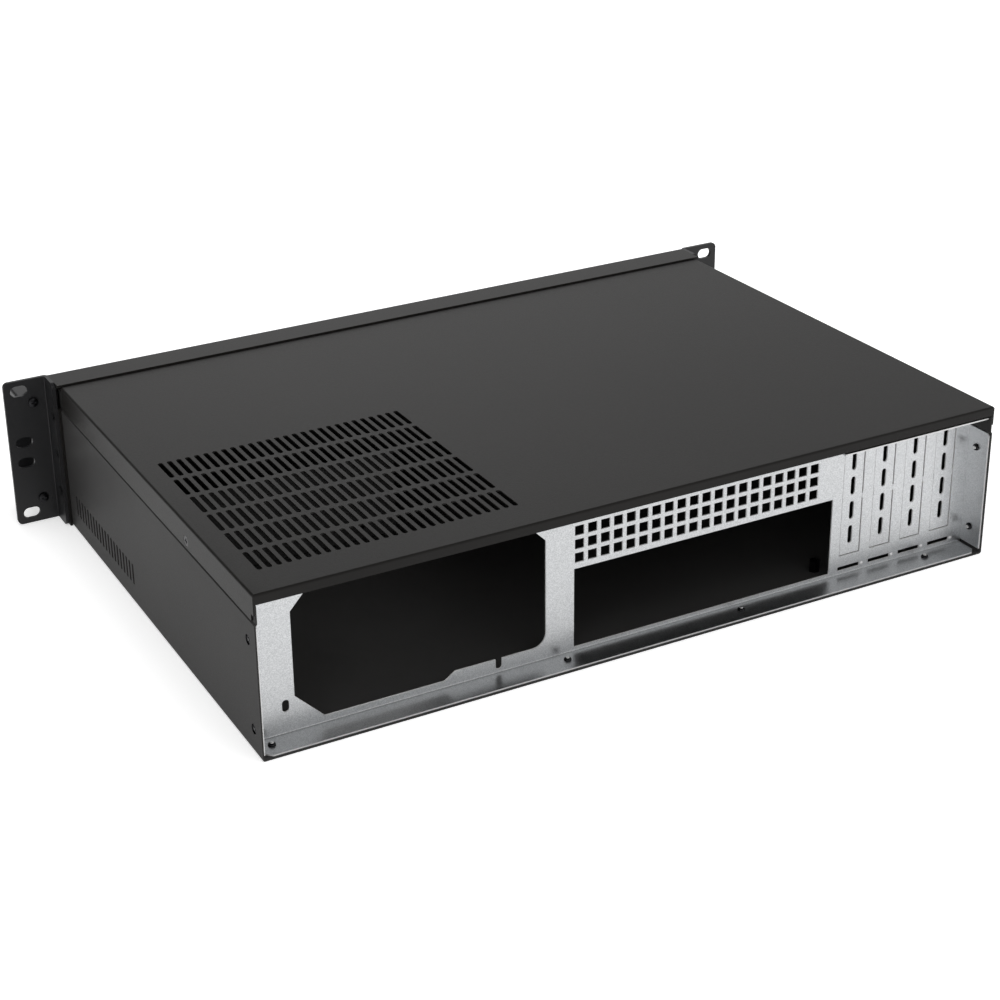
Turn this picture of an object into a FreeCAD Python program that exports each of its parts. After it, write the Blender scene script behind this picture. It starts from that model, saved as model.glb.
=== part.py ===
import FreeCAD, Part

import os
import re

import Sketcher

# Empty two-unit rackmount server case, in millimetres.
# X runs across the case, the front panel faces -Y, Z is up and the case stands on z = 0.
# Every sub-part is drawn with y = 0 on the rear face of the rack ears; its Placement then moves it
# so that the middle of the whole case, handles included, lies on the origin.

SIZES = {
    # overall case
    "case_width": 427.0,
    "case_depth": 300.0,
    "case_height": 87.6,
    "sheet_steel": 0.8,
    "bend_radius": 0.5,
    "fit_gap": 0.1,
    # base tray
    "seam_height": 72.0,
    "flange_top": 84.0,
    "tray_lip": 12.0,
    "tray_lip_relief": 2.0,
    "side_vent_low": 11.6,
    "side_vent_high": 24.1,
    "side_vent_width": 2.5,
    "side_vent_pitch": 5.0,
    "side_vent_columns": 20,
    "side_vent_start": 29.2,
    # top cover
    "cover_front": 19.2,
    "seam_gap": 0.1,
    "rear_lip_height": 5.2,
    "lip_clearance": 0.4,
    "lip_notch_length": 3.0,
    "lip_notch_height": 4.1,
    "tongue_length": 12.0,
    "tongue_gap": 1.0,
    "vent_width": 2.7,
    "vent_length": 19.8,
    "vent_pitch": 4.985,
    "vent_row_pitch": 22.9,
    "vent_columns": 28,
    "vent_rows": 6,
    "vent_edge_side": 13.2,
    "vent_edge_rear": 31.6,
    "cover_screw_inset": 85.0,
    "cover_screw_height": 77.5,
    "cover_screw_head": 3.0,
    "cover_screw_length": 5.0,
    # front panel
    "panel_sheet": 1.5,
    "panel_rise": 1.0,
    "panel_top_flange": 18.2,
    "panel_side_flange": 16.0,
    "panel_cutback": 12.0,
    "panel_cutback_height": 73.4,
    "fan_pitch": 82.5,
    "fan_row_middle": -80.0,
    "grille_slot_width": 4.0,
    "grille_slot_height": 62.0,
    "grille_slot_pitch": 7.0,
    "grille_slots": 9,
    # rack ears
    "ear_sheet": 2.0,
    "rack_width": 482.6,
    "ear_flange": 14.5,
    "ear_corner": 3.0,
    "rack_slot_across": 465.1,
    "rack_slot_length": 9.9,
    "rack_slot_height": 6.5,
    "rack_outer_spacing": 76.2,
    "rack_inner_spacing": 12.7,
    "ear_screw_setback": 11.0,
    "ear_screw_spacing": 23.2,
    "ear_screw_head": 2.9,
    "ear_screw_shank": 1.5,
    "ear_screw_seat": 1.0,
    # handles
    "handle_reach": 31.0,
    "handle_width": 16.0,
    "handle_band": 7.0,
    "handle_spacing": 60.0,
    "handle_bend": 9.0,
    "handle_inner_bend": 4.0,
    "handle_screw_head": 3.0,
    "handle_screw_rise": 2.2,
    "handle_screw_shank": 1.6,
    "handle_screw_depth": 12.0,
    # rear panel
    "panel_setback": 15.6,
    "rear_flange_inset": 0.8,
    "rear_flange_low": 2.7,
    "rear_flange_top": 71.5,
    "rear_lip_setback": 1.0,
    "corner_gap": 1.2,
    "corner_chamfer": 3.0,
    "rear_wall_top": 86.0,
    "shelf_height": 80.4,
    "shelf_setback": 2.0,
    "shelf_start": -117.5,
    "shelf_relief": 4.0,
    "shelf_relief_low": 78.5,
    "rivet_inset": 9.3,
    "rivet_low": 13.0,
    "rivet_high": 60.7,
    "rivet_head": 2.75,
    "rivet_pin": 2.0,
    "rivet_rise": 1.8,
    "lip_rivet_corner": 205.0,
    "lip_rivet_supply": 44.0,
    "lip_rivet_ports": -61.0,
    "lip_rivet_slots": -182.0,
    # power supply opening
    "supply_side": 189.6,
    "supply_inner": 52.9,
    "supply_top": 80.0,
    "supply_bottom": 5.1,
    "supply_step": 9.1,
    "supply_step_start": 110.0,
    "supply_step_end": 104.1,
    "supply_chamfer_side": 13.0,
    "supply_chamfer_rise": 14.4,
    "supply_inner_chamfer": 12.0,
    "supply_low_chamfer": 15.2,
    "supply_corner": 7.4,
    "supply_screw_radius": 2.0,
    "supply_screw_spacing": 138.0,
    "supply_screw_side": 194.4,
    "supply_screw_high": 80.8,
    "supply_screw_low": 16.3,
    "supply_oval_width": 3.7,
    "supply_oval_height": 6.6,
    "supply_notch_middle": 79.8,
    "supply_notch_width": 3.6,
    "supply_notch_low": 3.4,
    # square grid and connector opening
    "grid_hole": 4.7,
    "grid_pitch": 7.5,
    "grid_columns": 20,
    "grid_rows": 3,
    "grid_side": 36.0,
    "grid_low": 51.6,
    "ports_side": 36.7,
    "ports_width": 158.75,
    "ports_low": 3.55,
    "ports_height": 44.45,
    # expansion slots
    "slot_pitch": 20.32,
    "slot_total": 4,
    "slot_first": -135.0,
    "blank_width": 12.6,
    "blank_bottom": 13.0,
    "blank_gap": 0.5,
    "blank_tab": 3.0,
    "blank_tab_height": 46.0,
    "oval_width": 2.9,
    "oval_height": 10.4,
    "oval_pitch": 14.38,
    "ovals_high": 4,
    "oval_low": 24.3,
    "slit_width": 14.5,
    "slit_height": 1.6,
    "slit_middle": 5.0,
    "slot_screw_radius": 1.75,
    "slot_screw_setback": 8.0,
    # control cluster behind the front panel
    "control_height": 68.0,
    "power_place": 188.0,
    "reset_place": 172.0,
    "lens_place": 162.0,
    "lens_pitch": 8.0,
    "port_place": 138.0,
    "port_pitch": 20.0,
    "power_radius": 6.0,
    "power_collar": 7.3,
    "power_proud": 1.5,
    "reset_radius": 1.8,
    "reset_collar": 3.0,
    "reset_proud": 0.6,
    "stem_radius": 1.5,
    "collar_thickness": 1.0,
    "running_gap": 0.3,
    "seat_gap": 0.2,
    "button_travel": 0.8,
    "lens_radius": 1.5,
    "lens_collar": 2.3,
    "lens_proud": 0.5,
    "port_width": 13.1,
    "port_height": 5.8,
    "port_wall": 0.4,
    "tongue_width": 11.0,
    "tongue_height": 1.8,
    "tongue_rise": 0.6,
    "tongue_recess": 1.0,
    "board_gap": 10.0,
    "board_thickness": 1.6,
    "board_margin": 10.0,
    "board_half_height": 11.0,
    "switch_side": 6.0,
    "switch_depth": 3.5,
    "plunger_radius": 1.5,
    "plunger_length": 1.0,
    "bracket_sheet": 1.0,
    "bracket_foot": 7.0,
    "board_screw_inset": 4.0,
    "board_screw_drop": 8.0,
    "small_screw_shank": 1.5,
    "small_screw_head": 2.7,
    "small_screw_rise": 1.8,
    # mainboard standoffs
    "board_line_near": 36.25,
    "board_line_far": -121.23,
    "board_row_rear": 272.8,
    "board_row_middle": 117.9,
    "board_row_front": 45.47,
    "standoff_height": 6.5,
    "standoff_across": 5.0,
    "standoff_bore": 1.25,
    "standoff_bore_depth": 5.0,
    # drive cage
    "cage_low_side": 55.0,
    "cage_length": 142.0,
    "cage_front": 14.0,
    "cage_inner": 102.2,
    "cage_sheet": 1.0,
    "cage_height": 51.0,
    "drive_hole_radius": 1.75,
    "drive_hole_spacing": 101.6,
    "drive_hole_rise": 7.35,
    "cage_screw_inset": 12.0,
}

WALL = "(case_width / 2)"
WALL_INNER = "(case_width / 2 - sheet_steel)"
FLANGE_INNER = "(case_width / 2 - 2 * sheet_steel)"
PANEL_HALF = "(case_width / 2 + panel_sheet)"
PANEL_TOP = "(case_height + panel_rise)"
PANEL_MIDDLE = "((case_height + panel_rise) / 2)"
PANEL_FRONT = "(-ear_sheet)"
PANEL_BACK = "(panel_sheet - ear_sheet)"
REAR_FACE = "(case_depth - panel_setback)"
REAR_INNER = "(case_depth - panel_setback - sheet_steel)"
BOARD_FRONT = "(panel_sheet - ear_sheet + board_gap)"
BOARD_BACK = f"({BOARD_FRONT} + board_thickness)"
BOARD_LOW = "(port_place - port_pitch - port_width / 2 - board_margin / 2)"
BOARD_HIGH = "(power_place + board_margin)"
CAGE_FLOOR = "(sheet_steel + cage_sheet)"
HANDLE_MIDDLE = "(case_width / 2 + panel_sheet + ear_sheet + handle_width / 2)"
CASE_SHIFT = "-(case_depth - ear_sheet - handle_reach) / 2"

doc = FreeCAD.newDocument("rack_case")
sheet = doc.addObject("Spreadsheet::Sheet", "sizes")
for row, (alias, size) in enumerate(SIZES.items(), start=1):
    sheet.set(f"A{row}", alias)
    sheet.set(f"B{row}", str(size))
    sheet.setAlias(f"B{row}", alias)
doc.recompute()

sub_parts = []


def linked(text):
    """The expression with each size read from the sheet."""
    return re.sub(r"[a-z]+(?:_[a-z]+)+", lambda found: "sizes." + found.group(0), text)


def value(text):
    """What the expression is worth in millimetres."""
    return float(sheet.evalExpression(linked(text)))


def bind(item, path, text):
    item.setExpression(path, linked(text))


def finish(item, label):
    """Names a sub-part and sets it in the shared frame."""
    item.Label = label
    bind(item, "Placement.Base.y", CASE_SHIFT)
    sub_parts.append(item)
    doc.recompute()


# Sketches and features

# Each plane's name gives the axis across it and the side that its normal points to.
NORMALS = {"XY_Plane": 1, "XZ_Plane": -1, "YZ_Plane": 1}


def new_sketch(body, role, low):
    """A sketch on the body's own origin plane, moved along the plane's axis to low."""
    sketch = body.newObject("Sketcher::SketchObject", "outline")
    planes = [face for face in body.Origin.OriginFeatures if face.Role == role]
    sketch.AttachmentSupport = [(planes[0], "")]
    sketch.MapMode = "FlatFace"
    bind(sketch, "AttachmentOffset.Base.z", f"{NORMALS[role]} * ({low})")
    return sketch


def pin(sketch, kind, geometry, point, text):
    """Ties one coordinate of a point to an expression."""
    index = sketch.addConstraint(Sketcher.Constraint(kind, -1, 1, geometry, point, value(text)))
    bind(sketch, f"Constraints[{index}]", text)


def polygon(sketch, corners):
    """A closed outline of straight edges through the corners."""
    points = [FreeCAD.Vector(value(across), value(up), 0) for across, up in corners]
    first = sketch.GeometryCount
    count = len(points)
    for i in range(count):
        sketch.addGeometry(Part.LineSegment(points[i], points[(i + 1) % count]), False)
    for i in range(count):
        following = first + (i + 1) % count
        sketch.addConstraint(Sketcher.Constraint("Coincident", first + i, 2, following, 1))
    for i, (across, up) in enumerate(corners):
        pin(sketch, "DistanceX", first + i, 1, across)
        pin(sketch, "DistanceY", first + i, 1, up)


def rectangle(sketch, left, right, low, high):
    polygon(sketch, [(left, low), (right, low), (right, high), (left, high)])


def circle(sketch, across, up, radius):
    centre = FreeCAD.Vector(value(across), value(up), 0)
    index = sketch.addGeometry(Part.Circle(centre, FreeCAD.Vector(0, 0, 1), value(radius)), False)
    pin(sketch, "DistanceX", index, 3, across)
    pin(sketch, "DistanceY", index, 3, up)
    size = sketch.addConstraint(Sketcher.Constraint("Radius", index, value(radius)))
    bind(sketch, f"Constraints[{size}]", radius)


def facets(sketch, across, up, radius):
    """A small hole with eight sides, for a fastener that is drawn the same way."""
    angles = range(0, 360, 45)
    polygon(sketch, [
        (f"{across} + ({radius}) * cos({angle} deg)", f"{up} + ({radius}) * sin({angle} deg)")
        for angle in angles
    ])


def slot_corners(across, up, half_width, half_length):
    """The corners of an upright slot whose ends are half of a six-sided ring."""
    shoulder = f"({half_width} * cos(30 deg))"
    flat = f"({half_width} * tan(30 deg))"
    upper = [
        (half_width, f"{half_length} - {shoulder}"),
        (flat, half_length),
        (f"-{flat}", half_length),
        (f"-({half_width})", f"{half_length} - {shoulder}"),
    ]
    corners = upper + [(f"-({x})", f"-({y})") for x, y in upper]
    return [(f"{across} + ({x})", f"{up} + ({y})") for x, y in corners]


def oblong(sketch, across, up, half_reach, radius, upright):
    """A slot with round ends: two arcs, half_reach each side of the middle, and two tangents."""
    reach = FreeCAD.Vector(0, value(half_reach), 0) if upright else FreeCAD.Vector(value(half_reach), 0, 0)
    side = FreeCAD.Vector(value(radius), 0, 0) if upright else FreeCAD.Vector(0, -value(radius), 0)
    middle = FreeCAD.Vector(value(across), value(up), 0)
    far = middle + reach
    near = middle - reach
    tip = reach.normalize() * value(radius)
    arcs = [
        Part.Arc(near - side, near - tip, near + side),
        Part.Arc(far + side, far + tip, far - side),
    ]
    low_arc = sketch.addGeometry(arcs[0], False)
    right_line = sketch.addGeometry(Part.LineSegment(near + side, far + side), False)
    high_arc = sketch.addGeometry(arcs[1], False)
    left_line = sketch.addGeometry(Part.LineSegment(far - side, near - side), False)
    for one, one_end, two, two_end in (
        (low_arc, 2, right_line, 1),
        (right_line, 2, high_arc, 1),
        (high_arc, 2, left_line, 1),
        (left_line, 2, low_arc, 1),
    ):
        sketch.addConstraint(Sketcher.Constraint("Tangent", one, one_end, two, two_end))
    sketch.addConstraint(Sketcher.Constraint("Equal", low_arc, high_arc))
    size = sketch.addConstraint(Sketcher.Constraint("Radius", low_arc, value(radius)))
    bind(sketch, f"Constraints[{size}]", radius)
    for arc, sign in ((low_arc, "-"), (high_arc, "+")):
        pin(sketch, "DistanceX", arc, 3, across if upright else f"{across} {sign} ({half_reach})")
        pin(sketch, "DistanceY", arc, 3, f"{up} {sign} ({half_reach})" if upright else up)


def pad(body, role, low, thick, draw, *shape):
    """Solid sheet between low and low + thick along the plane's axis."""
    sketch = new_sketch(body, role, low)
    draw(sketch, *shape)
    solid = body.newObject("PartDesign::Pad", "sheet")
    solid.Profile = sketch
    solid.Reversed = NORMALS[role] < 0
    bind(solid, "Length", thick)
    body.Tip = solid
    doc.recompute()
    return solid


def cut(body, role, low, thick, draw, *shape):
    """Takes the outline away between low and low + thick along the plane's axis."""
    before = body.Tip.Shape.Volume
    sketch = new_sketch(body, role, low)
    draw(sketch, *shape)
    hole = body.newObject("PartDesign::Pocket", "opening")
    hole.Profile = sketch
    hole.Reversed = NORMALS[role] > 0
    bind(hole, "Length", thick)
    body.Tip = hole
    doc.recompute()
    if not hole.Shape.Volume < before:
        raise RuntimeError(f"a cut in {body.Name} takes nothing away")
    return hole


def repeat(body, hole, across=None, up=None):
    """Repeats a cut along its sketch's axes; each direction is (pitch, count, towards minus)."""
    sketch = hole.Profile[0]
    pattern = body.newObject("PartDesign::LinearPattern", "pattern")
    pattern.Originals = [hole]
    pattern.Direction = (sketch, ["H_Axis" if across else "V_Axis"])
    pitch, count, towards_minus = across or up
    pattern.Mode = "Spacing"
    pattern.Reversed = towards_minus
    bind(pattern, "Offset", pitch)
    bind(pattern, "Occurrences", count)
    if across and up:
        pitch, count, towards_minus = up
        pattern.Direction2 = (sketch, ["V_Axis"])
        pattern.Mode2 = "Spacing"
        # Each step of the second direction takes the common pitch, which -1 stands for.
        pattern.Occurrences2 = int(value(count))
        pattern.Spacings2 = [-1.0] * (pattern.Occurrences2 - 1)
        pattern.Reversed2 = towards_minus
        bind(pattern, "Offset2", pitch)
        bind(pattern, "Occurrences2", count)
    body.Tip = pattern
    doc.recompute()


def edges_at(shape, **places):
    """The names of the edges that keep the given coordinates over their whole length."""
    names = []
    for number, edge in enumerate(shape.Edges, start=1):
        box = edge.BoundBox
        spans = {"x": (box.XMin, box.XMax), "y": (box.YMin, box.YMax), "z": (box.ZMin, box.ZMax)}
        if all(max(abs(end - place) for end in spans[axis]) < 1e-4 for axis, place in places.items()):
            names.append(f"Edge{number}")
    return names


def round_edges(body, radius, places):
    """Rounds every edge that lies at one of the places."""
    base = body.Tip
    names = []
    for place in places:
        found = edges_at(base.Shape, **{axis: value(text) for axis, text in place.items()})
        if not found:
            raise RuntimeError(f"no edge at {place} in {body.Name}")
        names += found
    bend = body.newObject("PartDesign::Fillet", "bend")
    bend.Base = (base, names)
    bind(bend, "Radius", radius)
    body.Tip = bend
    doc.recompute()
    if bend.Shape.isNull():
        raise RuntimeError(f"a bend in {body.Name} can't be rounded at {places}")


def new_body(name):
    body = doc.addObject("PartDesign::Body", name)
    doc.recompute()
    return body


def mirrored(half):
    """The half outline followed by its mirror image across X = 0."""
    return half + [(f"-({across})", up) for across, up in reversed(half)]


def signed(side, text):
    return f"{side} * ({text})"


# Turned pieces and boxes

def facing(side, stages):
    """Stages that run outwards along X, on the right of the case or mirrored to its left."""
    if side > 0:
        return stages
    return [(f"-({high})", f"-({low})", radius) for low, high, radius in stages]


TURNS = {
    "x": FreeCAD.Rotation(FreeCAD.Vector(0, 1, 0), 90),
    "y": FreeCAD.Rotation(FreeCAD.Vector(1, 0, 0), -90),
    "z": FreeCAD.Rotation(),
}


def stacked(centre, axis, stages, sides):
    """Stages stacked along an axis and fused; each is (low, high, radius). No sides means round."""
    pieces = []
    kind = "Part::Prism" if sides else "Part::Cylinder"
    for low, high, radius in stages:
        piece = doc.addObject(kind, "stage")
        piece.Placement = FreeCAD.Placement(FreeCAD.Vector(), TURNS[axis])
        for letter, text in zip("xyz", centre):
            bind(piece, f"Placement.Base.{letter}", low if letter == axis else text)
        bind(piece, "Height", f"({high}) - ({low})")
        if sides:
            piece.Polygon = sides
            bind(piece, "Circumradius", radius)
        else:
            bind(piece, "Radius", radius)
        pieces.append(piece)
    return pieces[0] if len(pieces) == 1 else fused(pieces)


def turned(centre, axis, stages):
    return stacked(centre, axis, stages, 0)


def faceted(centre, axis, stages, sides=8):
    """A small fastener or cap drawn with flat sides; its round form is a matter of finish."""
    return stacked(centre, axis, stages, sides)


def box(left, right, front, back, low, high):
    block = doc.addObject("Part::Box", "block")
    bind(block, "Length", f"({right}) - ({left})")
    bind(block, "Width", f"({back}) - ({front})")
    bind(block, "Height", f"({high}) - ({low})")
    for letter, text in zip("xyz", (left, front, low)):
        bind(block, f"Placement.Base.{letter}", text)
    return block


def fused(pieces):
    whole = doc.addObject("Part::MultiFuse", "joined")
    whole.Shapes = pieces
    whole.Refine = True
    return whole


def without(solid, tools):
    for tool in tools:
        rest = doc.addObject("Part::Cut", "bored")
        rest.Base = solid
        rest.Tool = tool
        solid = rest
    return solid


def group(label, pieces):
    """Like pieces that share one node, each a solid of its own."""
    whole = doc.addObject("Part::Compound", label)
    whole.Links = pieces
    finish(whole, label)


# Places that several pieces share

RIVET_HEIGHTS = ("rivet_low", "rivet_high")
RIVET_DEPTH = "(case_depth - rivet_inset)"
LIP_RIVETS = ("lip_rivet_corner", "lip_rivet_supply", "lip_rivet_ports", "lip_rivet_slots")
COVER_SCREW_DEPTH = "(case_depth - cover_screw_inset)"
EAR_SCREW_HEIGHTS = tuple(f"({PANEL_MIDDLE} + {step} * ear_screw_spacing)" for step in (-1, 0, 1))
HANDLE_HEIGHTS = tuple(f"({PANEL_MIDDLE} + {step} * handle_spacing / 2)" for step in (-1, 1))
FANS = tuple(f"(fan_row_middle + {step} * fan_pitch)" for step in (-1, 0, 1))
STANDOFFS = (
    ("board_line_near", "board_row_rear"),
    ("board_line_far", "board_row_rear"),
    ("board_line_near", "board_row_middle"),
    ("board_line_far", "board_row_middle"),
    ("board_line_near", "board_row_front"),
    ("board_line_far", "board_row_front"),
)
CAGE_SCREWS = tuple(
    (along, deep)
    for along in ("(cage_low_side + cage_screw_inset)", "(cage_low_side + cage_length - cage_screw_inset)")
    for deep in (
        "(cage_front + cage_sheet + cage_screw_inset)",
        "(cage_front + cage_sheet + cage_inner - cage_screw_inset)",
    )
)
BOARD_SCREWS = (
    (f"({BOARD_LOW} + board_screw_inset)", "(control_height - board_screw_drop)"),
    (f"({BOARD_HIGH} - board_screw_inset)", "(control_height + board_screw_drop)"),
)
LENSES = ("lens_place", "(lens_place - lens_pitch)")
PORTS = ("port_place", "(port_place - port_pitch)")


def base_tray():
    """Floor, two walls joggled inward above the seam, and an upturned front lip, folded from one sheet."""
    body = new_body("base_tray")
    slant = "sheet_steel * tan(22.5 deg)"
    half = [
        (WALL, "0"),
        (WALL, "seam_height"),
        (WALL_INNER, "seam_height + sheet_steel"),
        (WALL_INNER, "flange_top"),
        (FLANGE_INNER, "flange_top"),
        (FLANGE_INNER, f"seam_height + sheet_steel - {slant}"),
        (WALL_INNER, f"seam_height - {slant}"),
        (WALL_INNER, "sheet_steel"),
    ]
    pad(body, "XZ_Plane", PANEL_BACK, f"case_depth - {PANEL_BACK}", polygon, mirrored(half))
    outer = [{"x": signed(side, WALL), "z": "0"} for side in (-1, 1)]
    inner = [{"x": signed(side, WALL_INNER), "z": "sheet_steel"} for side in (-1, 1)]
    round_edges(body, "bend_radius + sheet_steel", outer)
    round_edges(body, "bend_radius", inner)
    lip = f"{WALL_INNER} - tray_lip_relief"
    pad(body, "XZ_Plane", PANEL_BACK, "sheet_steel", rectangle, f"-({lip})", lip, "0", "tray_lip")
    vent = cut(
        body, "YZ_Plane", f"-{WALL}", "case_width", rectangle,
        "side_vent_start - side_vent_width / 2", "side_vent_start + side_vent_width / 2",
        "side_vent_low", "side_vent_high",
    )
    repeat(body, vent, across=("side_vent_pitch", "side_vent_columns", False))

    def wall_holes(sketch):
        for height in RIVET_HEIGHTS:
            facets(sketch, RIVET_DEPTH, height, "rivet_head + fit_gap")
        facets(sketch, COVER_SCREW_DEPTH, "cover_screw_height", "small_screw_shank + fit_gap")

    cut(body, "YZ_Plane", f"-{WALL}", "case_width", wall_holes)

    def floor_holes(sketch):
        for place in LIP_RIVETS:
            facets(sketch, place, RIVET_DEPTH, "rivet_head + fit_gap")
        for along, deep in CAGE_SCREWS:
            facets(sketch, along, deep, "small_screw_shank + fit_gap")

    cut(body, "XY_Plane", "0", "sheet_steel", floor_holes)
    cut(
        body, "YZ_Plane", f"-{WALL}", "case_width", rectangle,
        "case_depth - sheet_steel - lip_clearance", "case_depth",
        "case_height - rear_lip_height - lip_clearance", "flange_top",
    )
    finish(body, "base_tray")


def rear_panel():
    """Bare metal rear wall with its lip, side flanges, slot shelf and every cut-out, from one sheet."""
    body = new_body("rear_panel")
    wall = [
        (f"-{FLANGE_INNER}", "sheet_steel"),
        (FLANGE_INNER, "sheet_steel"),
        (FLANGE_INNER, "rear_wall_top"),
        ("shelf_start + shelf_relief", "rear_wall_top"),
        ("shelf_start + shelf_relief", "shelf_relief_low"),
        ("shelf_start", "shelf_relief_low"),
        ("shelf_start", "shelf_height"),
        (f"-{FLANGE_INNER}", "shelf_height"),
    ]
    pad(body, "XZ_Plane", REAR_INNER, "sheet_steel", polygon, wall)
    pad(
        body, "XY_Plane", "shelf_height - sheet_steel", "sheet_steel", rectangle,
        f"-{FLANGE_INNER}", "shelf_start", REAR_INNER, "case_depth - shelf_setback",
    )
    lip_side = f"({FLANGE_INNER} - corner_gap)"
    lip_end = "(case_depth - rear_lip_setback)"
    lip = [
        (lip_side, REAR_INNER),
        (lip_side, f"{lip_end} - corner_chamfer"),
        (f"{lip_side} - corner_chamfer", lip_end),
    ]
    pad(body, "XY_Plane", "sheet_steel", "sheet_steel", polygon, mirrored(lip))
    flange_end = "(case_depth - rear_flange_inset)"
    flange = [
        (REAR_INNER, "rear_flange_low"),
        (flange_end, "rear_flange_low"),
        (flange_end, "rear_flange_top - corner_chamfer / 2"),
        (f"{flange_end} - corner_chamfer / 2", "rear_flange_top"),
        (REAR_INNER, "rear_flange_top"),
    ]
    pad(body, "YZ_Plane", FLANGE_INNER, "sheet_steel", polygon, flange)
    pad(body, "YZ_Plane", f"-{WALL_INNER}", "sheet_steel", polygon, flange)
    round_edges(body, "bend_radius + sheet_steel", [{"y": REAR_INNER, "z": "shelf_height"}])
    folds = [{"x": signed(side, WALL_INNER), "y": REAR_INNER} for side in (-1, 1)]
    folds += [{"y": REAR_INNER, "z": "sheet_steel"}]
    folds += [{"y": REAR_FACE, "z": "2 * sheet_steel"}, {"y": REAR_FACE, "z": "shelf_height - sheet_steel"}]
    round_edges(body, "bend_radius", folds)

    supply = [
        ("supply_side", "supply_bottom + supply_low_chamfer"),
        ("supply_side", "supply_top - supply_chamfer_rise"),
        ("supply_side - supply_chamfer_side", "supply_top"),
        ("supply_inner + supply_inner_chamfer", "supply_top"),
        ("supply_inner", "supply_top - supply_inner_chamfer"),
        ("supply_inner", "supply_step"),
        ("supply_step_end", "supply_step"),
        ("supply_step_start", "supply_bottom"),
        ("supply_side - supply_low_chamfer", "supply_bottom"),
    ]
    cut(body, "XZ_Plane", REAR_INNER, "sheet_steel", polygon, supply)
    round_edges(body, "supply_corner", [{"x": "supply_inner", "z": "supply_step"}])
    notch_radius = "supply_notch_width / 2"
    cut(
        body, "XZ_Plane", REAR_INNER, "sheet_steel", oblong,
        "supply_notch_middle", "supply_step", f"supply_step - supply_notch_low - {notch_radius}",
        notch_radius, True,
    )

    def supply_holes(sketch):
        radius = "supply_oval_width / 2"
        oblong(
            sketch, "supply_screw_side", "supply_screw_low",
            f"supply_oval_height / 2 - {radius}", radius, True,
        )
        for step in (0, 1):
            along = f"supply_screw_side - {step} * supply_screw_spacing"
            circle(sketch, along, "supply_screw_high", "supply_screw_radius")

    cut(body, "XZ_Plane", REAR_INNER, "sheet_steel", supply_holes)
    cut(
        body, "XZ_Plane", REAR_INNER, "sheet_steel", rectangle,
        "ports_side - ports_width", "ports_side", "ports_low", "ports_low + ports_height",
    )
    square = cut(
        body, "XZ_Plane", REAR_INNER, "sheet_steel", rectangle,
        "grid_side - grid_hole", "grid_side", "grid_low", "grid_low + grid_hole",
    )
    repeat(body, square, ("grid_pitch", "grid_columns", True), ("grid_pitch", "grid_rows", False))

    slot_row = ("slot_pitch", "slot_total", True)
    inside = "blank_width / 2"
    outside = "(blank_width / 2 + blank_gap)"
    tab_low = "(blank_tab_height - blank_tab / 2)"
    tab_high = "(blank_tab_height + blank_tab / 2)"
    fold_line = "(shelf_height - 2 * sheet_steel - bend_radius)"

    def blank_outline(sketch):
        lower = [
            (outside, "blank_bottom - blank_gap"),
            (outside, tab_low),
            (inside, tab_low),
            (inside, "blank_bottom"),
        ]
        corners = mirrored(lower)
        polygon(sketch, [(f"slot_first + ({across})", up) for across, up in corners])
        rectangle(sketch, f"slot_first + {inside}", f"slot_first + {outside}", tab_high, fold_line)
        rectangle(sketch, f"slot_first - {outside}", f"slot_first - {inside}", tab_high, fold_line)

    blank = cut(body, "XZ_Plane", REAR_INNER, "sheet_steel", blank_outline)
    repeat(body, blank, slot_row)
    oval = cut(
        body, "XZ_Plane", REAR_INNER, "sheet_steel", polygon,
        slot_corners("slot_first", "oval_low", "oval_width / 2", "oval_height / 2"),
    )
    repeat(body, oval, slot_row, ("oval_pitch", "ovals_high", False))
    slit = cut(
        body, "XZ_Plane", REAR_INNER, "sheet_steel", rectangle,
        "slot_first - slit_width / 2", "slot_first + slit_width / 2",
        "slit_middle - slit_height / 2", "slit_middle + slit_height / 2",
    )
    repeat(body, slit, slot_row)
    screw_hole = cut(
        body, "XY_Plane", "shelf_height - sheet_steel", "sheet_steel", circle,
        "slot_first", "case_depth - slot_screw_setback", "slot_screw_radius",
    )
    repeat(body, screw_hole, slot_row)

    def lip_holes(sketch):
        for place in LIP_RIVETS:
            facets(sketch, place, RIVET_DEPTH, "rivet_pin + fit_gap")

    cut(body, "XY_Plane", "sheet_steel", "sheet_steel", lip_holes)

    def flange_holes(sketch):
        for height in RIVET_HEIGHTS:
            facets(sketch, RIVET_DEPTH, height, "rivet_pin + fit_gap")

    cut(body, "YZ_Plane", f"-{WALL_INNER}", f"2 * {WALL_INNER}", flange_holes)
    finish(body, "rear_panel")


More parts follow.
